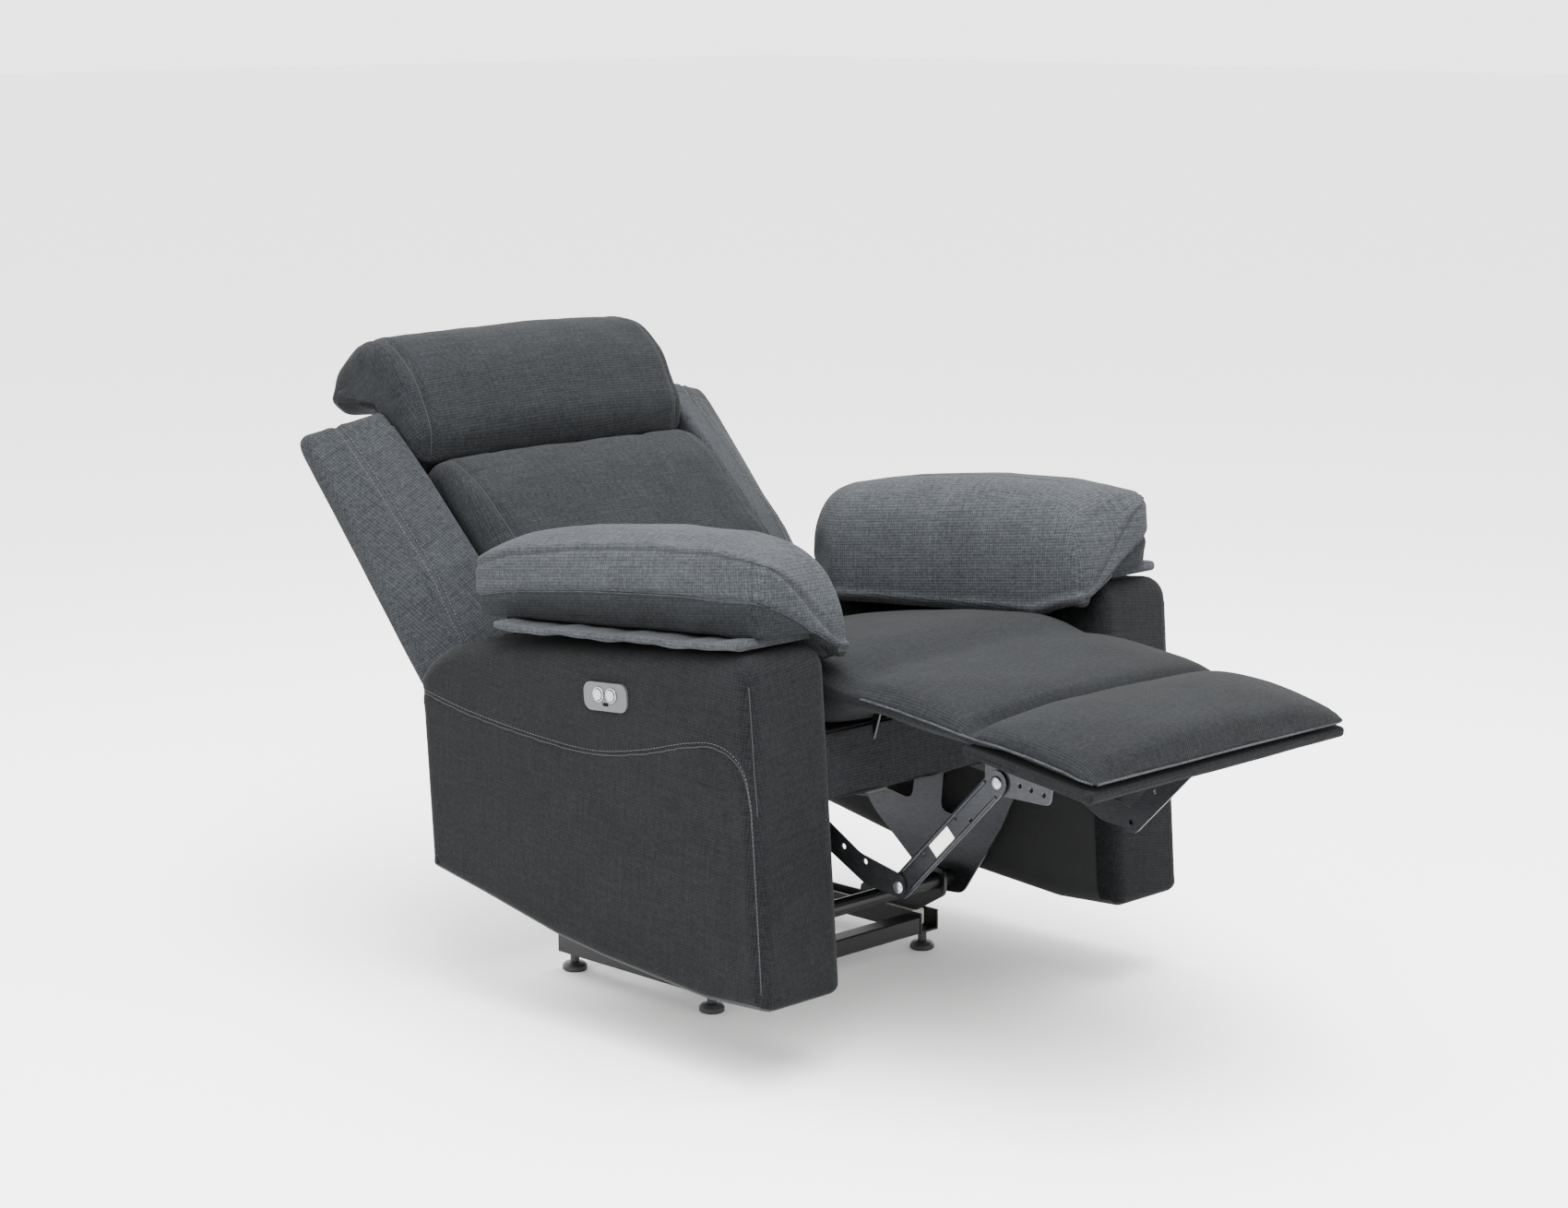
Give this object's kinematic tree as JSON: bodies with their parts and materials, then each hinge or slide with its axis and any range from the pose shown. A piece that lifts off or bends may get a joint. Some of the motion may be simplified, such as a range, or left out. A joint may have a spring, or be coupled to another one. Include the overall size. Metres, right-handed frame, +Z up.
{
  "type": "recliner armchair",
  "caption": "Upholstered power recliner armchair with padded arms, winged reclining back, pillow headrest, fold-out legrest and a carriage that slides and tips the body.",
  "frame": {"origin": "on the floor, under the middle of the whole chair's box as pictured: legrest out, back down", "axes": "+Z up, the sitter faces -Y, +X is the sitter's left; the base's tracks run along Y"},
  "size_m": [0.9108, 1.5628, 0.9339],
  "materials": {
    "woven_cloth": "coarse basket weave, slate grey with lighter threads",
    "plywood": "unfinished ply",
    "black_steel": "black powder coat",
    "grey_steel": "dark zinc-plated stampings",
    "black_plastic": "moulded, satin",
    "nylon": "natural nylon",
    "webbing": "black woven webbing",
    "chrome": "polished"
  },
  "bodies": {
    "base": {"base_track_right": "black_steel", "base_track_left": "black_steel", "base_rail_front": "black_steel", "base_rail_rear": "black_steel", "glide_foot_front_right": "black_plastic", "glide_foot_front_left": "black_plastic", "glide_foot_rear_right": "black_plastic", "glide_foot_rear_left": "black_plastic"},
    "carriage": {"carriage_bar_right": "black_steel", "carriage_bar_left": "black_steel", "slide_shoe_right": "nylon", "slide_shoe_left": "nylon", "carriage_cross_tube": "black_steel"},
    "body": {"arm_cover_right": "woven_cloth", "arm_cover_left": "woven_cloth", "arm_frame_right": "plywood", "arm_frame_left": "plywood", "pad_board_right": "woven_cloth", "pad_board_left": "woven_cloth", "arm_pad_right": "woven_cloth", "arm_pad_left": "woven_cloth", "switch_plate": "black_plastic", "seat_rail_right": "plywood", "seat_rail_left": "plywood", "seat_rail_front": "plywood", "seat_rail_rear": "plywood", "seat_deck": "webbing", "seat_cushion": "woven_cloth", "rear_valance": "woven_cloth", "mechanism_plate_right": "grey_steel", "mechanism_plate_left": "grey_steel", "chaise_tab_right": "black_steel", "chaise_tab_left": "black_steel", "actuator_track": "grey_steel", "motor_housing": "black_plastic", "back_pivot_right": "chrome", "back_pivot_left": "chrome"},
    "backrest": {"back_board": "plywood", "back_panel": "woven_cloth", "wing_right": "woven_cloth", "wing_left": "woven_cloth", "back_bracket_right": "grey_steel", "back_bracket_left": "grey_steel", "lumbar_cushion": "woven_cloth", "headrest_cushion": "woven_cloth"},
    "legrest": {"footrest_board": "plywood", "footrest_pad": "woven_cloth", "calf_pad": "woven_cloth", "chaise_arm_right": "black_steel", "chaise_arm_left": "black_steel", "ottoman_bracket_right": "grey_steel", "ottoman_bracket_left": "grey_steel"},
    "rear_links": {"rear_link_right": "grey_steel", "rear_link_left": "grey_steel", "torque_tube": "black_steel"},
    "front_links": {"front_link_right": "grey_steel", "front_link_left": "grey_steel"},
    "drive": {"drive_block": "black_plastic"},
    "open_key": {"button_open": "chrome"},
    "close_key": {"button_close": "chrome"}
  },
  "joints": [
    {"name": "carriage_slide", "type": "slide", "parent": "base", "child": "carriage", "axis": [0, 1, 0], "range_m": [0, 0.16]},
    {"name": "body_tip", "type": "hinge", "parent": "carriage", "child": "body", "pos_m": [0, -0.0557, 0.115], "axis": [1, 0, 0], "range_deg": [0, 4.2]},
    {"name": "legrest_fold", "type": "hinge", "parent": "body", "child": "legrest", "pos_m": [0, -0.31514, 0.52528], "axis": [1, 0, 0], "range_deg": [0, 74]},
    {"name": "rear_link_swing", "type": "hinge", "parent": "body", "child": "rear_links", "pos_m": [0, -0.18423, 0.37589], "axis": [1, 0, 0], "range_deg": [0, 83]},
    {"name": "front_link_swing", "type": "hinge", "parent": "legrest", "child": "front_links", "pos_m": [0, -0.59284, 0.44444], "axis": [1, 0, 0], "range_deg": [-57.5, 0]},
    {"name": "drive_travel", "type": "slide", "parent": "body", "child": "drive", "axis": [0, 0.9973, -0.0732], "range_m": [0, 0.079]},
    {"name": "back_recline", "type": "hinge", "parent": "body", "child": "backrest", "pos_m": [0, 0.24101, 0.38417], "axis": [1, 0, 0], "range_deg": [0, 16]},
    {"name": "open_press", "type": "slide", "parent": "body", "child": "open_key", "axis": [1, 0, 0], "range_m": [0, 0.0015], "stiffness_N_per_m": 600, "springref_m": -0.001},
    {"name": "close_press", "type": "slide", "parent": "body", "child": "close_key", "axis": [1, 0, 0], "range_m": [0, 0.0015], "stiffness_N_per_m": 600, "springref_m": -0.001}
  ],
  "couplings": [
    {"joint": "body_tip", "follows": "carriage_slide", "rad_per_m": 0.45815},
    {"joint": "legrest_fold", "follows": "carriage_slide", "rad_per_m": 8.0721},
    {"joint": "rear_link_swing", "follows": "carriage_slide", "rad_per_m": 9.0206},
    {"joint": "front_link_swing", "follows": "carriage_slide", "rad_per_m": -6.2619},
    {"joint": "drive_travel", "follows": "carriage_slide", "ratio": 0.49374}
  ]
}
